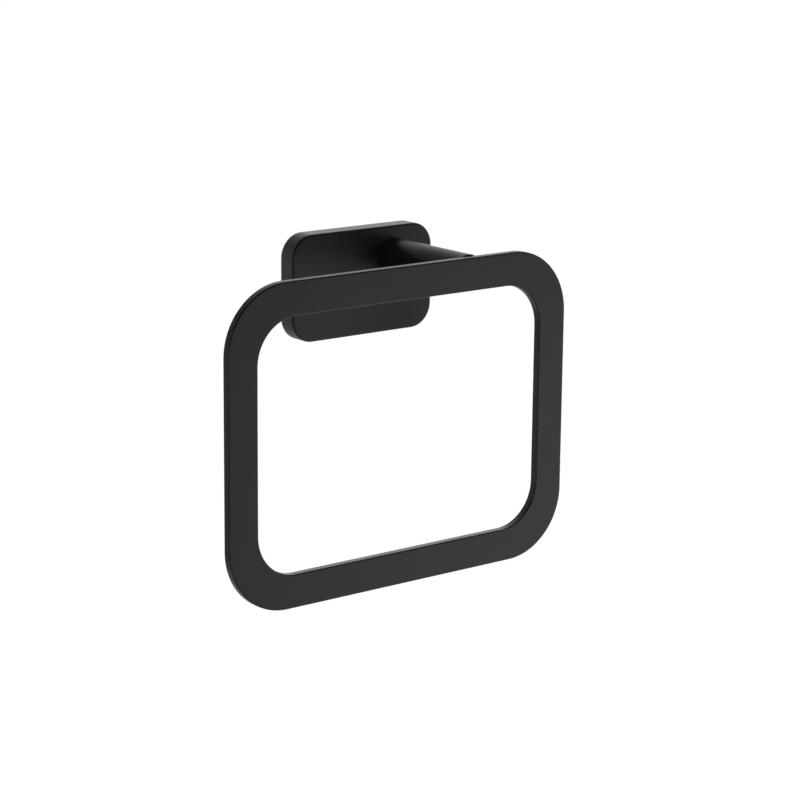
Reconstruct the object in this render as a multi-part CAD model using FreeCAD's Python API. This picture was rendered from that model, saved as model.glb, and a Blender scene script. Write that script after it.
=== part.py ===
import FreeCAD, Part
import math
import os

# Towel ring. A flat rounded frame is carried in front of the wall by one round post,
# which stands off centre on a wide wall plate. A stud fixed in the back of the frame runs
# through the post and is held by a nut inside the wall plate. The plate hooks over a folded
# bracket, and a set screw in its underside locks it there.
#
# Millimetres. +Z is up and +Y points into the wall. The origin is the middle of the wall
# plate on the wall's surface, and the whole object stands out from there towards -Y.

Vector = FreeCAD.Vector

# Ring frame
ring_width = 185.0
ring_height = 143.0
ring_thickness = 4.0
ring_projection = 67.0
band_width = 15.0
ring_outer_corner = 30.0
ring_inner_corner = 20.0
ring_front_round = 0.6
ring_back_chamfer = 0.4
ring_left_of_post = 38.75

# Post
post_diameter = 16.5
post_right_of_middle = 17.5
post_below_plate_top = 14.0
post_edge_chamfer = 0.4

# Wall plate
plate_width = 79.0
plate_height = 49.0
plate_depth = 9.0
plate_corner = 11.0
plate_edge_round = 0.9
plate_side_wall = 2.2
plate_front_wall = 2.5
cavity_draft = 0.25
post_seat_depth = 0.8
post_seat_clearance = 0.1

# Stud, nut and washers, M6
stud_diameter = 6.0
stud_head_diameter = 8.0
stud_head_height = 1.6
stud_past_nut = 0.5
stud_end_chamfer = 0.6
stud_clearance = 0.25
stud_seat_clearance = 0.05
thread_clearance = 0.05
nut_across_flats = 10.0
nut_height = 3.2
nut_chamfer = 0.4
flat_washer_diameter = 12.0
flat_washer_height = 1.0
lock_washer_diameter = 10.6
lock_washer_height = 1.2
lock_washer_split = 0.8

# Dowel pins against turning, one at each end of the post, midway between the stud's head
# and the post's side
pin_diameter = 2.5
pin_length = 6.0
pin_in_band = 2.0
pin_under_inside_face = 0.2
pin_end_chamfer = 0.3
pin_clearance = 0.03

# Wall bracket, folded from sheet, its ears a loose fit between the wall plate's side walls
sheet = 1.8
bend_radius = 0.8
bracket_side_clearance = 0.5
flange_width = 52.0
flange_front_gap = 0.5
hook_top_gap = 0.5
wall_screw_hole = 5.0
wall_screw_spacing = 42.0
wall_screws_below_middle = 5.0
nut_access_hole = 16.0

# Rail inside the wall plate that drops behind the bracket's hook
rail_height = 1.6
rail_thickness = 1.4
rail_length = 48.0
hook_clearance = 0.3

# Set screw in the underside of the wall plate, M4
set_screw_diameter = 4.0
set_screw_length = 6.0
set_screw_recess = 0.4
set_screw_socket = 2.0
set_screw_socket_depth = 2.0
set_screw_cup = 1.2
set_screw_cup_depth = 0.5
set_screw_boss_radius = 3.5
set_screw_boss_height = 2.8

# Cutting shapes run this far past the surface that they open
cut_past = 1.0

# Places that follow from the sizes, measured along Y from the wall's surface
plate_front = -plate_depth
plate_inside = plate_front + plate_front_wall
post_rear = plate_front + post_seat_depth
ring_front = -ring_projection
ring_back = ring_front + ring_thickness
flat_washer_rear = plate_inside + flat_washer_height
lock_washer_rear = flat_washer_rear + lock_washer_height
nut_rear = lock_washer_rear + nut_height
stud_end = nut_rear + stud_past_nut
ring_pin_front = ring_back - pin_in_band
plate_pin_front = plate_inside - pin_under_inside_face - pin_length
flange_front = plate_inside + flange_front_gap
hook_rear = flange_front + sheet

# Outline of the bracket's ears, which keep the wall plate from sliding sideways
bracket_width = plate_width - 2 * plate_side_wall - 2 * bracket_side_clearance
bracket_corner = plate_corner - plate_side_wall - bracket_side_clearance

# Places across the wall
post_x = post_right_of_middle
post_z = plate_height / 2 - post_below_plate_top
ring_x = post_x - ring_left_of_post
ring_z = post_z + band_width / 2 - ring_height / 2
pin_x = post_x - (post_diameter + stud_head_diameter) / 4
bracket_top = plate_height / 2 - plate_side_wall - rail_height
hook_top = plate_height / 2 - plate_side_wall - hook_top_gap
bracket_bottom = set_screw_recess + set_screw_length - plate_height / 2
set_screw_y = (flange_front - sheet) / 2


# Shared shapes

def rounded_outline(width, height, radius, x, z, y):
    """A closed outline with four round corners, upright at depth y, centred on x and z."""
    across = width / 2 - radius
    up = height / 2 - radius
    slant = radius * math.sqrt(0.5)
    edges = []
    corners = [(1, 1), (-1, 1), (-1, -1), (1, -1)]
    for index, (side, level) in enumerate(corners):
        hub = Vector(x + side * across, y, z + level * up)
        flank = hub + Vector(side * radius, 0, 0)
        crest = hub + Vector(0, 0, level * radius)
        middle = hub + Vector(side * slant, 0, level * slant)
        start, end = (flank, crest) if side == level else (crest, flank)
        edges.append(Part.Arc(start, middle, end).toShape())
        next_side, next_level = corners[(index + 1) % 4]
        next_hub = Vector(x + next_side * across, y, z + next_level * up)
        if next_side == side:
            next_start = next_hub + Vector(next_side * radius, 0, 0)
        else:
            next_start = next_hub + Vector(0, 0, next_level * radius)
        edges.append(Part.LineSegment(end, next_start).toShape())
    return Part.Wire(edges)


def slab(outline, depth):
    """The outline filled and given a thickness along +Y."""
    return Part.Face(outline).extrude(Vector(0, depth, 0))


def turned(profile, x, z):
    """A profile of (radius, y) points turned about the line along Y through x and z."""
    points = [Vector(radius, y, 0) for radius, y in profile]
    face = Part.Face(Part.makePolygon(points + points[:1]))
    solid = face.revolve(Vector(0, 0, 0), Vector(0, 1, 0), 360)
    solid.translate(Vector(x, 0, z))
    return solid


def bar(radius, x, z, start, end):
    """A plain round bar along Y, also used to cut holes."""
    return Part.makeCylinder(radius, end - start, Vector(x, start, z), Vector(0, 1, 0))


def folded_profile(points, width):
    """A section of (y, z) points drawn out along X, equally to both sides."""
    corners = [Vector(-width / 2, y, z) for y, z in points]
    return Part.Face(Part.makePolygon(corners + corners[:1])).extrude(Vector(width, 0, 0))


def edges_at_depth(solid, y):
    """The edges that lie flat in the upright plane at y."""
    near = 0.01
    return [edge for edge in solid.Edges
            if abs(edge.BoundBox.YMin - y) < near and abs(edge.BoundBox.YMax - y) < near]


def edges_along_x(solid, y, z):
    """The straight edges that run along X at y and z."""
    near = 0.01
    found = []
    for edge in solid.Edges:
        box = edge.BoundBox
        flat = box.YLength < near and box.ZLength < near
        if flat and abs(box.YMin - y) < near and abs(box.ZMin - z) < near:
            found.append(edge)
    return found


def hexagon(across_flats, x, z, y, height):
    """A hexagonal prism along +Y from depth y, with a corner pointing up."""
    reach = across_flats / math.sqrt(3)
    points = []
    for turn in range(6):
        angle = math.radians(90 + 60 * turn)
        points.append(Vector(x + reach * math.cos(angle), y, z + reach * math.sin(angle)))
    return slab(Part.makePolygon(points + points[:1]), height)


# Ring frame: one flat band, its front edges rounded and its back edges chamfered

def make_ring_frame():
    outer = rounded_outline(ring_width, ring_height, ring_outer_corner, ring_x, ring_z, ring_front)
    opening_width = ring_width - 2 * band_width
    opening_height = ring_height - 2 * band_width
    inner = rounded_outline(opening_width, opening_height, ring_inner_corner, ring_x, ring_z, ring_front)
    band = slab(outer, ring_thickness).cut(slab(inner, ring_thickness))
    band = band.makeFillet(ring_front_round, edges_at_depth(band, ring_front))
    band = band.makeChamfer(ring_back_chamfer, edges_at_depth(band, ring_back))
    seat_radius = stud_head_diameter / 2 + stud_seat_clearance
    seat = bar(seat_radius, post_x, post_z, ring_back - stud_head_height, ring_back + cut_past)
    pin_radius = pin_diameter / 2 + pin_clearance
    pin_hole = bar(pin_radius, pin_x, post_z, ring_back - pin_in_band, ring_back + cut_past)
    return band.cut(seat).cut(pin_hole)


# Stud: a flat head let into the band, and a plain shank with a chamfered end

def make_ring_stud():
    head = stud_head_diameter / 2
    shank = stud_diameter / 2
    return turned([
        (0, ring_back - stud_head_height),
        (head, ring_back - stud_head_height),
        (head, ring_back),
        (shank, ring_back),
        (shank, stud_end - stud_end_chamfer),
        (shank - stud_end_chamfer, stud_end),
        (0, stud_end),
    ], post_x, post_z)


# Post: turned bar, bored for the stud, with a pin hole in each end

def make_post():
    radius = post_diameter / 2
    bore = stud_diameter / 2 + stud_clearance
    body = turned([
        (bore, ring_back),
        (radius - post_edge_chamfer, ring_back),
        (radius, ring_back + post_edge_chamfer),
        (radius, post_rear - post_edge_chamfer),
        (radius - post_edge_chamfer, post_rear),
        (bore, post_rear),
    ], post_x, post_z)
    pin_radius = pin_diameter / 2 + pin_clearance
    ring_pin_rear = ring_pin_front + pin_length
    front_pin_hole = bar(pin_radius, pin_x, post_z, ring_back - cut_past, ring_pin_rear)
    rear_pin_hole = bar(pin_radius, pin_x, post_z, plate_pin_front, post_rear + cut_past)
    return body.cut(front_pin_hole).cut(rear_pin_hole)


# Dowel pins: chamfered at both ends

def make_pin(front):
    radius = pin_diameter / 2
    rear = front + pin_length
    return turned([
        (0, front),
        (radius - pin_end_chamfer, front),
        (radius, front + pin_end_chamfer),
        (radius, rear - pin_end_chamfer),
        (radius - pin_end_chamfer, rear),
        (0, rear),
    ], pin_x, post_z)


# Wall plate: a hollow casting, open to the wall

def make_plate_shell():
    outline = rounded_outline(plate_width, plate_height, plate_corner, 0, 0, plate_front)
    block = slab(outline, plate_depth)
    block = block.makeFillet(plate_edge_round, edges_at_depth(block, plate_front))
    floor = rounded_outline(
        plate_width - 2 * plate_side_wall - 2 * cavity_draft,
        plate_height - 2 * plate_side_wall - 2 * cavity_draft,
        plate_corner - plate_side_wall - cavity_draft, 0, 0, plate_inside)
    mouth = rounded_outline(
        plate_width - 2 * plate_side_wall, plate_height - 2 * plate_side_wall,
        plate_corner - plate_side_wall, 0, 0, 0)
    return block.cut(Part.makeLoft([floor, mouth], True, True))


def make_hook_rail():
    """The rail under the top wall: it rests on the bracket's upper flange, behind the hook."""
    front = hook_rear + hook_clearance
    rear = front + rail_thickness
    root = plate_height / 2 - plate_side_wall / 2
    lead = rail_thickness / 3
    return folded_profile([
        (front, root),
        (front, bracket_top),
        (rear - lead, bracket_top),
        (rear, bracket_top + lead),
        (rear, root),
    ], rail_length)


def make_set_screw_boss():
    """A thick place in the lower wall, rounded at the back, that takes the set screw's thread."""
    foot = plate_side_wall / 2 - plate_height / 2
    top = plate_side_wall + set_screw_boss_height - plate_height / 2
    front = plate_inside - plate_front_wall / 2
    left = Vector(-set_screw_boss_radius, set_screw_y, foot)
    right = Vector(set_screw_boss_radius, set_screw_y, foot)
    crown = Vector(0, set_screw_y + set_screw_boss_radius, foot)
    left_front = Vector(-set_screw_boss_radius, front, foot)
    right_front = Vector(set_screw_boss_radius, front, foot)
    outline = Part.Wire([
        Part.LineSegment(left_front, left).toShape(),
        Part.Arc(left, crown, right).toShape(),
        Part.LineSegment(right, right_front).toShape(),
        Part.LineSegment(right_front, left_front).toShape(),
    ])
    return Part.Face(outline).extrude(Vector(0, 0, top - foot))


def make_wall_plate():
    plate = make_plate_shell().fuse(make_hook_rail()).fuse(make_set_screw_boss())
    seat_radius = post_diameter / 2 + post_seat_clearance
    front = plate_front - cut_past
    inside = plate_inside + cut_past
    seat = bar(seat_radius, post_x, post_z, front, post_rear)
    stud_hole = bar(stud_diameter / 2 + stud_clearance, post_x, post_z, front, inside)
    pin_hole = bar(pin_diameter / 2 + pin_clearance, pin_x, post_z, front, inside)
    underside = Vector(0, set_screw_y, -plate_height / 2 - cut_past)
    thread_depth = plate_side_wall + set_screw_boss_height + 2 * cut_past
    screw_hole = Part.makeCylinder(
        set_screw_diameter / 2 + thread_clearance, thread_depth, underside, Vector(0, 0, 1))
    return plate.cut(seat).cut(stud_hole).cut(pin_hole).cut(screw_hole).removeSplitter()


# Washers and nut on the end of the stud

def make_flat_washer():
    hole = stud_diameter / 2 + stud_clearance
    rim = flat_washer_diameter / 2
    return turned([
        (hole, plate_inside),
        (rim, plate_inside),
        (rim, flat_washer_rear),
        (hole, flat_washer_rear),
    ], post_x, post_z)


def make_lock_washer():
    """A spring washer, flat as it is when tight, with its slanted split at the top."""
    hole = stud_diameter / 2 + stud_clearance
    rim = lock_washer_diameter / 2
    ring = turned([
        (hole, flat_washer_rear),
        (rim, flat_washer_rear),
        (rim, lock_washer_rear),
        (hole, lock_washer_rear),
    ], post_x, post_z)
    half_split = lock_washer_split / 2
    slant = lock_washer_height / 2
    before = flat_washer_rear - slant
    behind = lock_washer_rear + slant
    corners = [
        Vector(post_x - half_split - slant, before, post_z),
        Vector(post_x + half_split - slant, before, post_z),
        Vector(post_x + half_split + slant, behind, post_z),
        Vector(post_x - half_split + slant, behind, post_z),
    ]
    split = Part.Face(Part.makePolygon(corners + corners[:1])).extrude(Vector(0, 0, lock_washer_diameter))
    return ring.cut(split)


def make_post_nut():
    """A thin nut, chamfered on the face that the spanner comes from."""
    prism = hexagon(nut_across_flats, post_x, post_z, lock_washer_rear, nut_height)
    corner = nut_across_flats / math.sqrt(3)
    face = nut_across_flats / 2
    slope = (corner - face) / 2 + nut_chamfer
    envelope = turned([
        (0, lock_washer_rear),
        (face + slope, lock_washer_rear),
        (face + slope, nut_rear - nut_chamfer),
        (face, nut_rear),
        (0, nut_rear),
    ], post_x, post_z)
    hole = bar(stud_diameter / 2 + thread_clearance, post_x, post_z,
               lock_washer_rear - cut_past, nut_rear + cut_past)
    return prism.common(envelope).cut(hole)


# Wall bracket: a channel folded from one sheet, with side ears and a hook along its top

def make_bracket_channel():
    channel = folded_profile([
        (flange_front, bracket_bottom),
        (0, bracket_bottom),
        (0, bracket_top),
        (hook_rear, bracket_top),
        (hook_rear, hook_top),
        (flange_front, hook_top),
        (flange_front, bracket_top - sheet),
        (-sheet, bracket_top - sheet),
        (-sheet, bracket_bottom + sheet),
        (flange_front, bracket_bottom + sheet),
    ], flange_width)
    inside_bends = (edges_along_x(channel, -sheet, bracket_top - sheet)
                    + edges_along_x(channel, -sheet, bracket_bottom + sheet))
    channel = channel.makeFillet(bend_radius, inside_bends)
    outside_radius = min(bend_radius + sheet, 0.9 * abs(hook_rear))
    outside_bends = [edge for place in ((0, bracket_bottom), (0, bracket_top),
                                        (flange_front, bracket_top - sheet))
                     for edge in edges_along_x(channel, *place)]
    return channel.makeFillet(outside_radius, outside_bends)


def make_wall_bracket():
    ear_top = bracket_top - sheet - bend_radius
    ear_bottom = bracket_bottom + sheet + bend_radius
    panel = rounded_outline(
        bracket_width, ear_top - ear_bottom, bracket_corner,
        0, (ear_top + ear_bottom) / 2, -sheet)
    bracket = make_bracket_channel().fuse(slab(panel, sheet))
    for side in (-1, 1):
        x = side * wall_screw_spacing / 2
        hole = bar(wall_screw_hole / 2, x, -wall_screws_below_middle, -sheet - cut_past, cut_past)
        bracket = bracket.cut(hole)
    access = bar(nut_access_hole / 2, post_x, post_z, -sheet - cut_past, cut_past)
    return bracket.cut(access).removeSplitter()


# Set screw: hexagon socket in its lower end, cup point against the bracket

def make_grub_screw():
    radius = set_screw_diameter / 2
    tip = bracket_bottom
    foot = tip - set_screw_length
    cup = set_screw_cup
    blank = turned([
        (0, foot),
        (radius - set_screw_cup_depth, foot),
        (radius, foot + set_screw_cup_depth),
        (radius, tip - (radius - cup)),
        (cup, tip),
        (0, tip - set_screw_cup_depth),
    ], 0, 0)
    socket = hexagon(set_screw_socket, 0, 0, foot - cut_past, set_screw_socket_depth + cut_past)
    screw = blank.cut(socket)
    screw.rotate(Vector(0, 0, 0), Vector(1, 0, 0), 90)
    screw.translate(Vector(0, set_screw_y, 0))
    return screw


parts = {
    "ring_frame": make_ring_frame(),
    "ring_stud": make_ring_stud(),
    "ring_pin": make_pin(ring_pin_front),
    "post": make_post(),
    "plate_pin": make_pin(plate_pin_front),
    "wall_plate": make_wall_plate(),
    "flat_washer": make_flat_washer(),
    "lock_washer": make_lock_washer(),
    "post_nut": make_post_nut(),
    "wall_bracket": make_wall_bracket(),
    "grub_screw": make_grub_screw(),
}

os.makedirs("parts", exist_ok=True)
for name, shape in parts.items():
    shape.exportStep(os.path.join("parts", name + ".step"))
    box = shape.BoundBox
    print(name, "solids", len(shape.Solids), "valid", shape.isValid(), "volume", round(shape.Volume, 1),
          "from", round(box.XMin, 2), round(box.YMin, 2), round(box.ZMin, 2),
          "to", round(box.XMax, 2), round(box.YMax, 2), round(box.ZMax, 2))
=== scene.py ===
# Towel ring. A flat rounded frame hangs in front of the wall on one round post, which stands off
# centre on a wide wall plate. One stud draws frame, post and plate together from inside the plate,
# and the plate hooks over a folded bracket that is screwed to the wall.
#
# Metres. +Z is up and +Y points into the wall, whose surface is at Y = 0.

import math

import bmesh
import bpy
from mathutils import Matrix, Vector


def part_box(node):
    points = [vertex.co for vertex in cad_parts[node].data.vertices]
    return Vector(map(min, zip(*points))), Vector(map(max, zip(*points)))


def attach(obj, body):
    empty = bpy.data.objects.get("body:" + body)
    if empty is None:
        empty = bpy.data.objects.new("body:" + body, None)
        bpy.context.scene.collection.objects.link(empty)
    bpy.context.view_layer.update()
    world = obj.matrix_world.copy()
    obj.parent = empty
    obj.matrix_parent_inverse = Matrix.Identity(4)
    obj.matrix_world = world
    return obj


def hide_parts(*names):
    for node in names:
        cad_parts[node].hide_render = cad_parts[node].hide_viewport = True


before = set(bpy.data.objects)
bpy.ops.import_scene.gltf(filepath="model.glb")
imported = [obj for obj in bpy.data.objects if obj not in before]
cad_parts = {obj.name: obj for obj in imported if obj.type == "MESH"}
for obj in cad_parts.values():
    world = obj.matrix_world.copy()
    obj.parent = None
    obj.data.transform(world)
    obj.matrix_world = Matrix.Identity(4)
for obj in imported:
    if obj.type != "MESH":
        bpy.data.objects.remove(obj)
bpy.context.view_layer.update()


# Wall bracket
#
# A shallow channel folded from zinc plated sheet steel, screwed flat to the wall through two ears.
# The wall plate hangs on the low hook along its upper flange, and the large hole clears the nut.

mm = 0.001
bracket_low, bracket_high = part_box("wall_bracket")
post_low, post_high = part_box("post")
post_x = (post_low.x + post_high.x) / 2
post_z = (post_low.z + post_high.z) / 2
sheet = 1.8 * mm
inside_bend = 0.8 * mm
outside_bend = inside_bend + sheet
hook_height = 1.1 * mm
flange_width = 52 * mm
ear_corner = 8.3 * mm
wall_screw_hole = 5 * mm
wall_screw_spacing = 42 * mm
wall_screw_level = -5 * mm
access_hole = 16 * mm
past = 1 * mm  # how far a tool reaches beyond what it cuts
sharp_from = math.radians(32)  # surfaces that meet at less than this are one curve
pattern_low, pattern_high = 0.3, 0.7  # the range that noise seldom leaves


def drawn_out(bm, faces, shift):
    """Turns flat faces into closed solids, drawn out along shift."""
    made = bmesh.ops.extrude_face_region(bm, geom=faces, use_keep_orig=True)
    moved = [part for part in made["geom"] if isinstance(part, bmesh.types.BMVert)]
    bmesh.ops.translate(bm, vec=shift, verts=moved)
    bmesh.ops.recalc_face_normals(bm, faces=bm.faces)


def round_corners(bm, corners, radius, steps):
    """Turns corners of a flat face into arcs."""
    bmesh.ops.bevel(bm, geom=corners, offset=radius, offset_type="OFFSET", segments=steps,
                    profile=0.5, affect="VERTICES", material=-1)


def rounded_outline(bm, width, height, radius, x, z, y, steps=24):
    """A flat face with four round corners, upright at depth y and looking towards -Y."""
    known = set(bm.faces)
    corners = bmesh.ops.create_grid(bm, x_segments=1, y_segments=1, size=0.5)["verts"]
    bmesh.ops.scale(bm, vec=(width, height, 1), verts=corners)
    bmesh.ops.rotate(bm, matrix=Matrix.Rotation(math.radians(90), 3, "X"), verts=corners)
    bmesh.ops.translate(bm, vec=(x, y, z), verts=corners)
    round_corners(bm, corners, radius, steps)
    return [face for face in bm.faces if face not in known]


def plain_bar(bm, radius, x, z, start, end, sides=96):
    """A plain bar along Y, round or with six sides, also used as a drill."""
    upright = Matrix.Rotation(math.radians(90), 4, "X")
    place = Matrix.Translation((x, (start + end) / 2, z)) @ upright
    bmesh.ops.create_cone(bm, cap_ends=True, segments=sides, radius1=radius, radius2=radius,
                          depth=end - start, matrix=place)


def solid_of(name, bm):
    """Makes an object of a finished bmesh."""
    mesh = bpy.data.meshes.new(name)
    bm.to_mesh(mesh)
    bm.free()
    solid = bpy.data.objects.new(name, mesh)
    bpy.context.scene.collection.objects.link(solid)
    return solid


def worked(solid, tool, operation):
    """Welds the tool's solid on, cuts it out, or keeps what both share, and uses the tool up."""
    step = solid.modifiers.new("work", "BOOLEAN")
    step.operation = operation
    step.solver = "EXACT"
    step.object = tool
    solid_now = solid.evaluated_get(bpy.context.evaluated_depsgraph_get())
    shaped = bpy.data.meshes.new_from_object(solid_now)
    solid.modifiers.clear()
    raw = solid.data
    solid.data = shaped
    for spent in (raw, tool.data):
        bpy.data.meshes.remove(spent)
    return solid


def fitted(piece, node, material):
    """Gives a finished piece its finish and edges, and puts it in the place of its CAD node."""
    piece.data.materials.clear()
    piece.data.materials.append(material)
    piece.data.shade_smooth()
    piece.data.set_sharp_from_angle(angle=sharp_from)
    flat = piece.modifiers.new("flat faces stay flat", "WEIGHTED_NORMAL")
    flat.keep_sharp = True
    flat.weight = 100
    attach(piece, "root")
    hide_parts(node)


def with_sockets(node, sockets):
    """A shader node with its sockets set by name, where _ stands for a space."""
    for name, value in sockets.items():
        node.inputs[name.replace("_", " ")].default_value = value
    return node


def node_of(owner, kind, **sockets):
    """A new shader node of a material or of the world."""
    return with_sockets(owner.node_tree.nodes.new(kind), sockets)


def new_finish(name, **sockets):
    """A material with its surface shader, and the piece's own coordinates."""
    material = bpy.data.materials.new(name)
    material.use_nodes = True
    surface = with_sockets(material.node_tree.nodes["Principled BSDF"], sockets)
    place = node_of(material, "ShaderNodeTexCoord").outputs["Object"]
    return material, surface, place


def noise(material, place, scale, detail):
    """A noise pattern over the piece, scale in patches per metre."""
    pattern = node_of(material, "ShaderNodeTexNoise", Scale=scale, Detail=detail)
    material.node_tree.links.new(place, pattern.inputs["Vector"])
    return pattern.outputs["Fac"]


def drawn_along(material, place, scale):
    """The piece's coordinates scaled, so that a pattern is drawn out where the scale is small."""
    stretch = node_of(material, "ShaderNodeMapping", Scale=scale)
    material.node_tree.links.new(place, stretch.inputs["Vector"])
    return stretch.outputs["Vector"]


def roughened(material, surface, pattern, low, high):
    """Spreads the surface's roughness from low to high by a pattern."""
    ranged = node_of(material, "ShaderNodeMapRange", From_Min=pattern_low, From_Max=pattern_high,
                     To_Min=low, To_Max=high)
    material.node_tree.links.new(pattern, ranged.inputs["Value"])
    material.node_tree.links.new(ranged.outputs["Result"], surface.inputs["Roughness"])


def coloured(material, surface, pattern, dark, light):
    """Colours the surface between dark and light by a pattern."""
    ramp = node_of(material, "ShaderNodeValToRGB")
    for stop, position, colour in zip(ramp.color_ramp.elements, (pattern_low, pattern_high),
                                      (dark, light)):
        stop.position = position
        stop.color = (*colour, 1)
    material.node_tree.links.new(pattern, ramp.inputs["Fac"])
    material.node_tree.links.new(ramp.outputs["Color"], surface.inputs["Base Color"])


def bumped(material, surface, heights):
    """Stacks bumps of (pattern, height in metres) into the surface's normal."""
    before = None
    for pattern, height in heights:
        bump = node_of(material, "ShaderNodeBump", Strength=1.0, Distance=height)
        material.node_tree.links.new(pattern, bump.inputs["Height"])
        if before:
            material.node_tree.links.new(before, bump.inputs["Normal"])
        before = bump.outputs["Normal"]
    material.node_tree.links.new(before, surface.inputs["Normal"])


def zinc_plate():
    """Bright zinc with a faint blue cast, cloudy from the bath, over steel rolled lengthways."""
    material, surface, place = new_finish("zinc plated steel", Metallic=1)
    clouds = noise(material, place, 140, detail=4)
    grain = noise(material, drawn_along(material, place, (0.05, 1, 1)), 5200, detail=2)
    coloured(material, surface, clouds, dark=(0.52, 0.53, 0.55), light=(0.66, 0.67, 0.69))
    roughened(material, surface, clouds, low=0.30, high=0.42)
    bumped(material, surface, [(grain, 0.0012 * mm), (clouds, 0.01 * mm)])
    return material


zinc = zinc_plate()


def folded_bracket():
    """The channel's section with its bends rounded, drawn out to the flange width."""
    front = bracket_low.y
    bottom = bracket_low.z
    hook_top = bracket_high.z
    top = hook_top - hook_height
    hook_rear = front + sheet
    bm = bmesh.new()
    section = [bm.verts.new((-flange_width / 2, y, z)) for y, z in (
        (front, bottom), (0, bottom), (0, top), (hook_rear, top), (hook_rear, hook_top),
        (front, hook_top), (front, top - sheet), (-sheet, top - sheet),
        (-sheet, bottom + sheet), (front, bottom + sheet))]
    bm.faces.new(section)
    inside_bends = [section[7], section[8]]
    outside_bends = [section[1], section[2], section[6]]
    round_corners(bm, inside_bends, inside_bend, 8)
    round_corners(bm, outside_bends, outside_bend, 12)
    drawn_out(bm, bm.faces[:], (flange_width, 0, 0))
    channel = solid_of("wall_bracket_folded", bm)

    ear_top = top - sheet - inside_bend
    ear_bottom = bottom + sheet + inside_bend
    bm = bmesh.new()
    ears = rounded_outline(bm, bracket_high.x - bracket_low.x, ear_top - ear_bottom, ear_corner,
                           0, (ear_top + ear_bottom) / 2, -sheet)
    drawn_out(bm, ears, (0, sheet, 0))
    worked(channel, solid_of("ears", bm), "UNION")

    bm = bmesh.new()
    for side in (-1, 1):
        plain_bar(bm, wall_screw_hole / 2, side * wall_screw_spacing / 2, wall_screw_level,
                  -sheet - past, past)
    plain_bar(bm, access_hole / 2, post_x, post_z, -sheet - past, past)
    return worked(channel, solid_of("punches", bm), "DIFFERENCE")


fitted(folded_bracket(), "wall_bracket", zinc)


# Ring frame
#
# The towel ring itself, one closed flat band of steel with round corners, powder coated matt black.
# Its front edges are rounded over, and its back has a blind seat for the stud and a hole for a pin.

ring_low, ring_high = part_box("ring_frame")
ring_x = (ring_low.x + ring_high.x) / 2
ring_z = (ring_low.z + ring_high.z) / 2
ring_front = ring_low.y
ring_back = ring_high.y
band_width = 15 * mm
ring_outer_corner = 30 * mm
ring_inner_corner = 20 * mm
ring_front_round = 0.6 * mm
ring_back_chamfer = 0.4 * mm
stud_low, stud_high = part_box("ring_stud")
stud_head_radius = (stud_high.x - stud_low.x) / 2
stud_x = (stud_low.x + stud_high.x) / 2
stud_z = (stud_low.z + stud_high.z) / 2
stud_seat_clearance = 0.05 * mm
pin_low, pin_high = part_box("ring_pin")
pin_radius = (pin_high.x - pin_low.x) / 2
pin_x = (pin_low.x + pin_high.x) / 2
pin_clearance = 0.03 * mm
same_place = 0.001 * mm  # points closer than this are one


def powder_coat():
    """Matt black powder coat with a fine grain, a slight orange peel and a faint cloudiness."""
    material, surface, place = new_finish("black powder coat", Specular_IOR_Level=0.43)
    clouds = noise(material, place, 45, detail=2)
    grain = noise(material, place, 2600, detail=2)
    peel = noise(material, place, 420, detail=1)
    coloured(material, surface, clouds,
             dark=(0.0068, 0.0068, 0.0070), light=(0.0084, 0.0084, 0.0086))
    roughened(material, surface, grain, low=0.36, high=0.44)
    bumped(material, surface, [(peel, 0.004 * mm), (grain, 0.002 * mm)])
    return material


coat = powder_coat()


def edges_at(bm, y):
    """The sharp edges that lie in the upright plane at y."""
    return [edge for edge in bm.edges
            if all(abs(end.co.y - y) < same_place for end in edge.verts)
            and len(edge.link_faces) == 2 and edge.calc_face_angle(0) > sharp_from]


def ease_edges(bm, y, size, steps):
    """Rounds every edge at depth y over, or chamfers it with one step."""
    bmesh.ops.bevel(bm, geom=edges_at(bm, y), offset=size, offset_type="OFFSET", segments=steps,
                    profile=0.5, affect="EDGES", material=-1)


def flat_band():
    """Two rounded outlines bridged into a flat ring, then drawn out to the band's thickness."""
    bm = bmesh.new()
    width = ring_high.x - ring_low.x
    height = ring_high.z - ring_low.z
    rims = (rounded_outline(bm, width, height, ring_outer_corner, ring_x, ring_z, ring_front)
            + rounded_outline(bm, width - 2 * band_width, height - 2 * band_width,
                              ring_inner_corner, ring_x, ring_z, ring_front))
    bmesh.ops.delete(bm, geom=rims, context="FACES_ONLY")
    bmesh.ops.bridge_loops(bm, edges=bm.edges[:])
    drawn_out(bm, bm.faces[:], (0, ring_back - ring_front, 0))
    ease_edges(bm, ring_front, ring_front_round, 6)
    ease_edges(bm, ring_back, ring_back_chamfer, 1)
    band = solid_of("ring_band", bm)

    bm = bmesh.new()
    cut_to = ring_back + past
    plain_bar(bm, stud_head_radius + stud_seat_clearance, stud_x, stud_z, stud_low.y, cut_to)
    plain_bar(bm, pin_radius + pin_clearance, pin_x, stud_z, pin_low.y, cut_to, sides=48)
    return worked(band, solid_of("seat_cutters", bm), "DIFFERENCE")


fitted(flat_band(), "ring_frame", coat)


# Ring stud
#
# An M6 stainless steel stud with a flat head, brazed into the back of the band before coating. It
# runs through the post and the wall plate, and only its threaded end shows, inside the nut.

stud_radius = 3 * mm
stud_pitch = 1 * mm
stud_head_height = 1.6 * mm
stud_thread_length = 16 * mm
stud_end_chamfer = 0.6 * mm
crest_relief = 0.03 * mm
thread_depth = 0.61  # of the pitch


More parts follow.
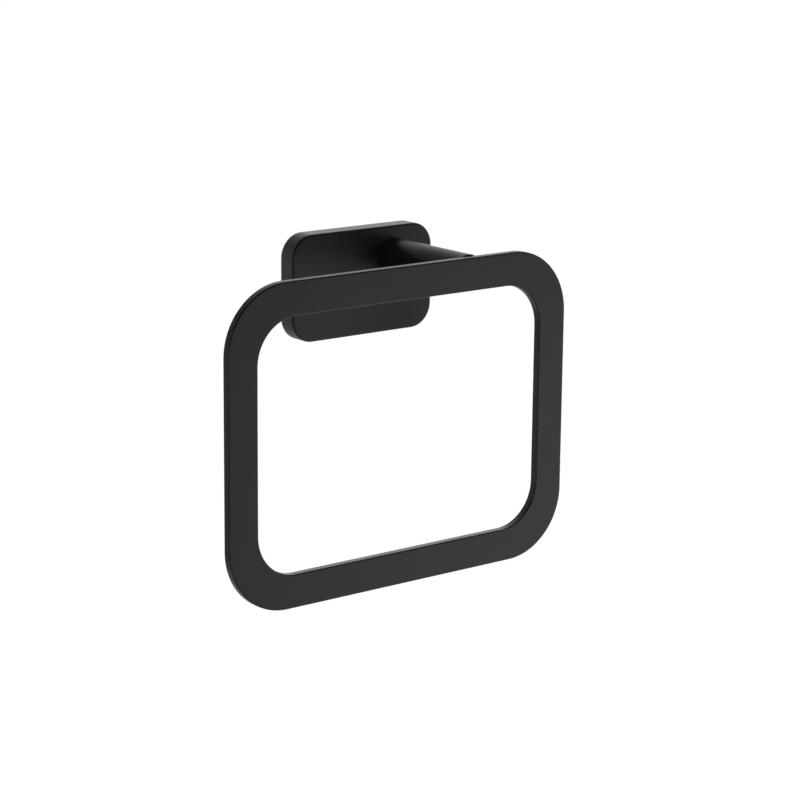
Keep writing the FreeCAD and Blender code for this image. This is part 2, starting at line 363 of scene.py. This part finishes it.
def turned(bm, profile, x, z, closed=True, steps=96):
    """A profile of (radius, y) points turned about the line along Y through x and z."""
    points = [bm.verts.new((x + radius, y, z)) for radius, y in profile]
    sides = [bm.edges.new(pair) for pair in zip(points, points[1:])]
    if closed:
        sides.append(bm.edges.new((points[-1], points[0])))
    bmesh.ops.spin(bm, geom=points + sides, cent=(x, 0, z), axis=(0, 1, 0), angle=2 * math.pi,
                   steps=steps, use_merge=True)
    bmesh.ops.remove_doubles(bm, verts=bm.verts, dist=same_place)
    bmesh.ops.recalc_face_normals(bm, faces=bm.faces)


def turned_down(solid, profile, x, z):
    """Keeps what lies inside a profile turned about the line along Y through x and z."""
    bm = bmesh.new()
    turned(bm, profile, x, z, closed=False)
    return worked(solid, solid_of("turning_limits", bm), "INTERSECT")


def threaded(bm, crest, pitch, x, z, start, end, steps=36):
    """A bar along Y with a right-hand thread, wound from one turn's section and cut off flat.

    The section has a metric thread's flats, a quarter of the pitch at the root and an eighth at
    the crest.
    """
    root = crest - thread_depth * pitch
    first = start - pitch
    turns = math.ceil((end - start) / pitch) + 2
    section = [bm.verts.new((x + radius, first + rise * pitch, z)) for radius, rise in (
        (root, 0), (root, 1 / 4), (crest, 9 / 16), (crest, 11 / 16), (root, 1))]
    sides = [bm.edges.new(pair) for pair in zip(section, section[1:])]
    bmesh.ops.spin(bm, geom=section + sides, cent=(x, 0, z), axis=(0, 1, 0),
                   dvec=(0, pitch / steps, 0), angle=turns * 2 * math.pi, steps=turns * steps)
    bmesh.ops.remove_doubles(bm, verts=bm.verts, dist=same_place)
    for level, outwards in ((start, -1), (end, 1)):
        bmesh.ops.bisect_plane(bm, geom=bm.verts[:] + bm.edges[:] + bm.faces[:],
                               plane_co=(0, level, 0), plane_no=(0, outwards, 0), clear_outer=True)
    bmesh.ops.holes_fill(bm, edges=[edge for edge in bm.edges if edge.is_boundary])
    bmesh.ops.recalc_face_normals(bm, faces=bm.faces)


def satin_stainless():
    """Turned stainless steel: a soft grey with fine rings round the bar."""
    material, surface, place = new_finish("stainless steel", Metallic=1)
    clouds = noise(material, place, 300, detail=3)
    rings = noise(material, drawn_along(material, place, (0.02, 1, 0.02)), 9000, detail=2)
    coloured(material, surface, clouds, dark=(0.50, 0.50, 0.50), light=(0.60, 0.595, 0.585))
    roughened(material, surface, rings, low=0.22, high=0.36)
    bumped(material, surface, [(rings, 0.0015 * mm)])
    return material


stainless = satin_stainless()


def headed_stud():
    """Head and plain shank, with the threaded end cut to its chamfer and joined on."""
    head_end = stud_low.y + stud_head_height
    thread_start = stud_high.y - stud_thread_length
    crest = stud_radius - crest_relief
    bm = bmesh.new()
    turned(bm, [
        (0, stud_low.y), (stud_head_radius, stud_low.y), (stud_head_radius, head_end),
        (stud_radius, head_end), (stud_radius, thread_start), (0, thread_start),
    ], stud_x, stud_z, closed=False)
    stud = solid_of("ring_stud_threaded", bm)

    bm = bmesh.new()
    threaded(bm, crest, stud_pitch, stud_x, stud_z, thread_start - 2 * past, stud_high.y + past)
    thread = turned_down(solid_of("thread", bm), [
        (0, thread_start - past), (crest + past, thread_start - past),
        (crest + past, stud_high.y - stud_end_chamfer - past),
        (crest - stud_end_chamfer, stud_high.y), (0, stud_high.y),
    ], stud_x, stud_z)
    return worked(stud, thread, "UNION")


fitted(headed_stud(), "ring_stud", stainless)


# Dowel pins
#
# Two stainless steel pins that stop the ring turning on the post, and the post on the wall plate.
# Each sits half in one piece and half in the other, and has chamfered ends.

pin_end_chamfer = 0.3 * mm


def dowel(name, node):
    """A short bar with chamfered ends, in the place of one pin."""
    low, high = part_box(node)
    bm = bmesh.new()
    turned(bm, [
        (0, low.y), (pin_radius - pin_end_chamfer, low.y), (pin_radius, low.y + pin_end_chamfer),
        (pin_radius, high.y - pin_end_chamfer), (pin_radius - pin_end_chamfer, high.y), (0, high.y),
    ], pin_x, stud_z, closed=False, steps=64)
    return solid_of(name, bm)


for pin_name, pin_node in (("ring_dowel", "ring_pin"), ("plate_dowel", "plate_pin")):
    fitted(dowel(pin_name, pin_node), pin_node, stainless)


# Post
#
# A turned round bar of steel, powder coated like the ring. It is bored through for the stud, its
# rims are chamfered at both ends, and its rear end sits in a shallow seat in the wall plate.

post_radius = (post_high.x - post_low.x) / 2
post_edge_chamfer = 0.4 * mm
post_bore = 6.5 * mm


def turned_post():
    """The post's section turned about its axis."""
    bore = post_bore / 2
    front = post_low.y
    rear = post_high.y
    bm = bmesh.new()
    turned(bm, [
        (bore, front),
        (post_radius - post_edge_chamfer, front),
        (post_radius, front + post_edge_chamfer),
        (post_radius, rear - post_edge_chamfer),
        (post_radius - post_edge_chamfer, rear),
        (bore, rear),
    ], post_x, post_z)
    bar = solid_of("post_turned", bm)

    bm = bmesh.new()
    hole_radius = pin_radius + pin_clearance
    plain_bar(bm, hole_radius, pin_x, post_z, front - past, pin_high.y, sides=48)
    plain_bar(bm, hole_radius, pin_x, post_z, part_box("plate_pin")[0].y, rear + past, sides=48)
    return worked(bar, solid_of("pin_drills", bm), "DIFFERENCE")


fitted(turned_post(), "post", coat)


# Wall plate
#
# A die cast hollow cover, open to the wall, powder coated like the ring. Inside it has a rail that
# drops behind the bracket's hook and a boss for the set screw, and the post sits in its front.

plate_low, plate_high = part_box("wall_plate")
plate_corner = 11 * mm
plate_edge_round = 0.9 * mm
plate_side_wall = 2.2 * mm
plate_front_wall = 2.5 * mm
cavity_draft = 0.25 * mm
post_seat_clearance = 0.1 * mm
hook_clearance = 0.3 * mm
rail_thickness = 1.4 * mm
rail_length = 48 * mm
rail_lead = rail_thickness / 3
set_screw_y = (bracket_low.y - sheet) / 2
set_screw_hole = 4.1 * mm
boss_radius = 3.5 * mm
boss_round = 0.999 * boss_radius  # a hair less, so that the two arcs don't meet in one point
boss_height = 2.8 * mm
drill_length = 4 * boss_height


def cast_plate():
    """A rounded block, hollowed from the back, with its rail, its boss and its holes."""
    front = plate_low.y
    rear = plate_high.y
    inside = front + plate_front_wall
    bm = bmesh.new()
    face = rounded_outline(bm, plate_high.x - plate_low.x, plate_high.z - plate_low.z, plate_corner,
                           0, 0, front)
    drawn_out(bm, face, (0, rear - front, 0))
    ease_edges(bm, front, plate_edge_round, 7)
    back = [side for side in bm.faces if side.calc_center_median().y > rear - same_place]
    bmesh.ops.inset_region(bm, faces=back, thickness=plate_side_wall, use_even_offset=True)
    bmesh.ops.inset_region(bm, faces=back, thickness=cavity_draft, depth=inside - rear,
                           use_even_offset=True)
    plate = solid_of("wall_plate_cast", bm)

    rail_front = bracket_low.y + sheet + hook_clearance
    rail_rear = rail_front + rail_thickness
    rail_low = bracket_high.z - hook_height
    rail_root = plate_high.z - plate_side_wall / 2
    bm = bmesh.new()
    section = [bm.verts.new((-rail_length / 2, y, z)) for y, z in (
        (rail_front, rail_root), (rail_front, rail_low), (rail_rear - rail_lead, rail_low),
        (rail_rear, rail_low + rail_lead), (rail_rear, rail_root))]
    drawn_out(bm, [bm.faces.new(section)], (rail_length, 0, 0))
    worked(plate, solid_of("rail", bm), "UNION")

    boss_foot = plate_low.z + plate_side_wall / 2
    boss_top = plate_low.z + plate_side_wall + boss_height
    bm = bmesh.new()
    boss_front = inside - plate_front_wall / 2
    boss_rear = set_screw_y + boss_radius
    footprint = [bm.verts.new((x, y, boss_foot)) for x, y in (
        (-boss_radius, boss_front), (boss_radius, boss_front),
        (boss_radius, boss_rear), (-boss_radius, boss_rear))]
    bm.faces.new(footprint)
    round_corners(bm, footprint[2:], boss_round, 16)
    drawn_out(bm, bm.faces[:], (0, 0, boss_top - boss_foot))
    worked(plate, solid_of("boss", bm), "UNION")

    bm = bmesh.new()
    seat_radius = post_radius + post_seat_clearance
    turned(bm, [
        (0, front - past), (seat_radius, front - past), (seat_radius, post_high.y),
        (post_bore / 2, post_high.y), (post_bore / 2, inside + past), (0, inside + past),
    ], post_x, post_z, closed=False)
    worked(plate, solid_of("seat_cutter", bm), "DIFFERENCE")

    bm = bmesh.new()
    plain_bar(bm, pin_radius + pin_clearance, pin_x, post_z, front - past, inside + past, sides=48)
    drill = Matrix.Translation((0, set_screw_y, plate_low.z + boss_height / 2))
    bmesh.ops.create_cone(bm, cap_ends=True, segments=48, radius1=set_screw_hole / 2,
                          radius2=set_screw_hole / 2, depth=drill_length, matrix=drill)
    return worked(plate, solid_of("set_screw_drill", bm), "DIFFERENCE")


fitted(cast_plate(), "wall_plate", coat)


# Washers and nut
#
# A flat washer, a split spring washer and a thin M6 nut of zinc plated steel, on the end of the
# stud inside the wall plate. The nut shows from behind through the bracket's large hole.

washer_bore = 6.5 * mm
washer_edge = 0.12 * mm
split_width = 0.8 * mm
nut_across_flats = 10 * mm
nut_chamfer = 0.4 * mm
nut_bore = 6.1 * mm


def washer(name, node):
    """A flat ring with its outer edges barely broken."""
    low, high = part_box(node)
    rim = (high.x - low.x) / 2
    bm = bmesh.new()
    turned(bm, [
        (washer_bore / 2, low.y), (rim - washer_edge, low.y), (rim, low.y + washer_edge),
        (rim, high.y - washer_edge), (rim - washer_edge, high.y), (washer_bore / 2, high.y),
    ], stud_x, stud_z)
    return solid_of(name, bm)


def spring_washer():
    """A flat ring, cut through at the top on a slant."""
    low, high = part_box("lock_washer")
    slant = (high.y - low.y) / 2
    ring = washer("lock_washer_split", "lock_washer")
    bm = bmesh.new()
    section = [bm.verts.new((stud_x + x, y, stud_z)) for x, y in (
        (-split_width / 2 - slant, low.y - slant), (split_width / 2 - slant, low.y - slant),
        (split_width / 2 + slant, high.y + slant), (-split_width / 2 + slant, high.y + slant))]
    drawn_out(bm, [bm.faces.new(section)], (0, 0, high.x - low.x))
    return worked(ring, solid_of("split", bm), "DIFFERENCE")


def thin_nut():
    """A hexagonal prism turned down at the corners of its rear face, and bored."""
    low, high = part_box("post_nut")
    corner = nut_across_flats / math.sqrt(3)
    face = nut_across_flats / 2
    slope = (corner - face) / 2 + nut_chamfer
    bm = bmesh.new()
    plain_bar(bm, corner, stud_x, stud_z, low.y - past, high.y + past, sides=6)
    nut = turned_down(solid_of("post_nut_thin", bm), [
        (0, low.y), (face + slope, low.y), (face + slope, high.y - nut_chamfer),
        (face, high.y), (0, high.y),
    ], stud_x, stud_z)

    bm = bmesh.new()
    plain_bar(bm, nut_bore / 2, stud_x, stud_z, low.y - past, high.y + past)
    return worked(nut, solid_of("nut_drill", bm), "DIFFERENCE")


fitted(washer("flat_washer_pressed", "flat_washer"), "flat_washer", zinc)
fitted(spring_washer(), "lock_washer", zinc)
fitted(thin_nut(), "post_nut", zinc)


# Set screw
#
# An M4 grub screw of blackened steel in the underside of the wall plate. Its cup point bears on the
# bracket's lower flange and keeps the plate from being lifted off, and a hexagon key turns it.

screw_radius = 2 * mm
screw_pitch = 0.7 * mm
screw_foot_chamfer = 0.5 * mm
key_across_flats = 2 * mm
key_depth = 2 * mm
cup_radius = 1.2 * mm
cup_depth = 0.5 * mm


def black_oxide():
    """Blackened steel, slightly oily and uneven."""
    material, surface, place = new_finish("black oxide steel", Metallic=1)
    clouds = noise(material, place, 900, detail=3)
    coloured(material, surface, clouds, dark=(0.035, 0.035, 0.040), light=(0.075, 0.072, 0.070))
    roughened(material, surface, clouds, low=0.30, high=0.48)
    bumped(material, surface, [(clouds, 0.003 * mm)])
    return material


def grub_screw():
    """A thread along Y, cut to its chamfer and cup, given its socket, and stood upright."""
    low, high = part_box("grub_screw")
    foot = low.z
    tip = high.z
    outside = screw_radius + past
    bm = bmesh.new()
    threaded(bm, screw_radius - crest_relief, screw_pitch, 0, 0, foot - past, tip + past)
    screw = turned_down(solid_of("set_screw_m4", bm), [
        (0, foot), (screw_radius - screw_foot_chamfer, foot),
        (outside, foot + screw_foot_chamfer + past),
        (outside, tip - (screw_radius - cup_radius) - past), (cup_radius, tip),
        (0, tip - cup_depth),
    ], 0, 0)

    bm = bmesh.new()
    plain_bar(bm, key_across_flats / math.sqrt(3), 0, 0, foot - past, foot + key_depth, sides=6)
    worked(screw, solid_of("key_socket", bm), "DIFFERENCE")
    upright = Matrix.Rotation(math.radians(90), 4, "X")
    screw.data.transform(Matrix.Translation((0, set_screw_y, 0)) @ upright)
    return screw


fitted(grub_screw(), "grub_screw", black_oxide())


# Studio
#
# A white floor and surround, with one large lamp low on the right and another above. A leaning
# dark dome, curtains and mats keep the blacks deep, and a bright card behind picks out the top
# edges. Only reflections see them.

floor_level = -450 * mm
floor_reach = 9
tent_middle = Vector((-20, -40, -50)) * mm
tent_radius = 650 * mm
dome_upwards = Vector((-0.445, -0.420, 0.791))
dome_edge = 0.18 * tent_radius
dome_rim = 220 * mm
curtain_height = 350 * mm
valance_height = 35 * mm
card_drop = 30 * mm
card_height = 190 * mm
mat_reach = 1100 * mm
lift = 1 * mm
white = (1, 1, 1, 1)
floor_tone = 0.06
floor_seen = 0.98
surround_light = 0.42
surround_seen = 1


def seen_directly(owner):
    """1 for what the camera, gloss or clear material sees, 0 for light that falls on things."""
    ray = node_of(owner, "ShaderNodeLightPath")
    either = ray.outputs["Is Camera Ray"]
    for kind in ("Is Glossy Ray", "Is Transmission Ray"):
        larger = node_of(owner, "ShaderNodeMath")
        larger.operation = "MAXIMUM"
        owner.node_tree.links.new(either, larger.inputs[0])
        owner.node_tree.links.new(ray.outputs[kind], larger.inputs[1])
        either = larger.outputs[0]
    return either


def glowing(owner, strength, lighting, seen):
    """Sets a strength for light that falls on things and another for what is seen."""
    ranged = node_of(owner, "ShaderNodeMapRange", To_Min=lighting, To_Max=seen)
    owner.node_tree.links.new(seen_directly(owner), ranged.inputs["Value"])
    owner.node_tree.links.new(ranged.outputs["Result"], strength)


def white_floor():
    """White paint that is seen about as bright as the surround."""
    material, surface, _ = new_finish(
        "white floor", Base_Color=(floor_tone, floor_tone, floor_tone, 1), Roughness=0.9,
        Specular_IOR_Level=0, Emission_Color=white)
    glowing(material, surface.inputs["Emission Strength"], lighting=0, seen=floor_seen)
    return material


bm = bmesh.new()
bmesh.ops.create_circle(bm, cap_ends=True, segments=96, radius=floor_reach)
bmesh.ops.translate(bm, vec=(0, 0, floor_level), verts=bm.verts)
floor = solid_of("floor", bm)
floor.data.materials.append(white_floor())

world = bpy.data.worlds.new("surround")
bpy.context.scene.world = world
world.use_nodes = True
surround = with_sockets(world.node_tree.nodes["Background"], {"Color": white})
glowing(world, surround.inputs["Strength"], lighting=surround_light, seen=surround_seen)


def cloth(name, tone, glow=0):
    """Matt cloth of one grey, which may glow."""
    return new_finish(name, Base_Color=(tone, tone, tone, 1), Roughness=1, Specular_IOR_Level=0,
                      Emission_Color=white, Emission_Strength=glow)[0]


black_cloth = cloth("black cloth", tone=0.03)
grey_cloth = cloth("grey cloth", tone=0.6)
pale_cloth = cloth("pale cloth", tone=0.85)
bright_card = cloth("bright card", tone=0, glow=2.1)


def hung(name, bm, material=black_cloth):
    """Hangs a cloth where only reflections see it."""
    made = solid_of(name, bm)
    made.data.materials.append(material)
    made.visible_camera = False
    made.visible_diffuse = False
    made.visible_shadow = False


bm = bmesh.new()
bmesh.ops.create_uvsphere(bm, u_segments=64, v_segments=32, radius=tent_radius)
for height, upwards in ((dome_edge, dome_upwards), (dome_rim, Vector((0, 0, 1)))):
    bmesh.ops.bisect_plane(bm, geom=bm.verts[:] + bm.edges[:] + bm.faces[:],
                           plane_co=height * upwards, plane_no=upwards, clear_inner=True)
bmesh.ops.translate(bm, vec=tent_middle, verts=bm.verts)
hung("dark dome", bm)


def swept(name, near, far, start, end, material=black_cloth):
    """A cloth swept round the ring between two edges, each given as (reach, level).

    It runs from one azimuth to another, in degrees from the front towards +X.
    """
    bm = bmesh.new()
    ends = [bm.verts.new((tent_middle.x, tent_middle.y - reach, level))
            for reach, level in (near, far)]
    bm.edges.new(ends)
    turn = Matrix.Rotation(math.radians(start), 3, "Z")
    bmesh.ops.rotate(bm, cent=tent_middle, matrix=turn, verts=ends)
    bmesh.ops.spin(bm, geom=ends + bm.edges[:], cent=tent_middle, axis=(0, 0, 1),
                   angle=math.radians(end - start), steps=48)
    hung(name, bm, material)


curtain_foot = (tent_radius, floor_level)
curtain_top = (tent_radius, tent_middle.z + curtain_height)
valance_foot = (tent_radius, tent_middle.z + valance_height)
card_foot = (tent_radius, tent_middle.z - card_drop)
card_top = (tent_radius, tent_middle.z + card_height)
mat_near = (lift, floor_level + lift)
mat_far = (mat_reach, floor_level + lift)

swept("dark curtain left", curtain_foot, curtain_top, start=-143, end=-85)
swept("grey curtain front", curtain_foot, curtain_top, start=-45, end=20, material=grey_cloth)
swept("dark valance", valance_foot, curtain_top, start=20, end=90)
swept("bright card rear", card_foot, card_top, start=110, end=160, material=bright_card)
swept("dark mat front", mat_near, mat_far, start=-45, end=20)
swept("pale mat rear", mat_near, mat_far, start=70, end=275, material=pale_cloth)


def soft_lamp(name, place, width, height, watts):
    """A large rectangular lamp that looks at the ring, and isn't seen in its gloss."""
    lamp = bpy.data.objects.new(name, bpy.data.lights.new(name, "AREA"))
    bpy.context.scene.collection.objects.link(lamp)
    lamp.data.shape = "RECTANGLE"
    lamp.data.size = width
    lamp.data.size_y = height
    lamp.data.energy = watts
    lamp.location = place
    lamp.rotation_euler = (tent_middle - Vector(place)).to_track_quat("-Z", "Y").to_euler()
    lamp.visible_glossy = False


soft_lamp("lamp right", (2.2, -1.3, 0.5), width=1.6, height=1.1, watts=74)
soft_lamp("lamp above", (-0.2, 0.5, 1.6), width=1.6, height=1.2, watts=6)


# Camera
#
# The photograph looks from the left and a little from above, with a long lens. The camera's place
# comes from a fit of the ring's and the plate's edges to it.

aim = Vector((-15.21, -56.24, -44.07)) * mm
azimuth = math.radians(-38.145)
elevation = math.radians(13.293)
roll = math.radians(0.566)
distance = 1102.444 * mm
back = Vector((math.sin(azimuth) * math.cos(elevation),
               -math.cos(azimuth) * math.cos(elevation),
               math.sin(elevation)))
level_right = (-back).cross(Vector((0, 0, 1))).normalized()
level_up = level_right.cross(-back)
right = math.cos(roll) * level_right + math.sin(roll) * level_up
up = math.cos(roll) * level_up - math.sin(roll) * level_right

camera = bpy.data.objects.new("camera", bpy.data.cameras.new("camera"))
bpy.context.scene.collection.objects.link(camera)
camera.data.sensor_width = 36
camera.data.lens = 112.388
turned_to = Matrix((right, up, back)).transposed()
camera.matrix_world = Matrix.Translation(aim + distance * back) @ turned_to.to_4x4()
bpy.context.scene.camera = camera

bpy.context.scene.view_settings.view_transform = "Standard"
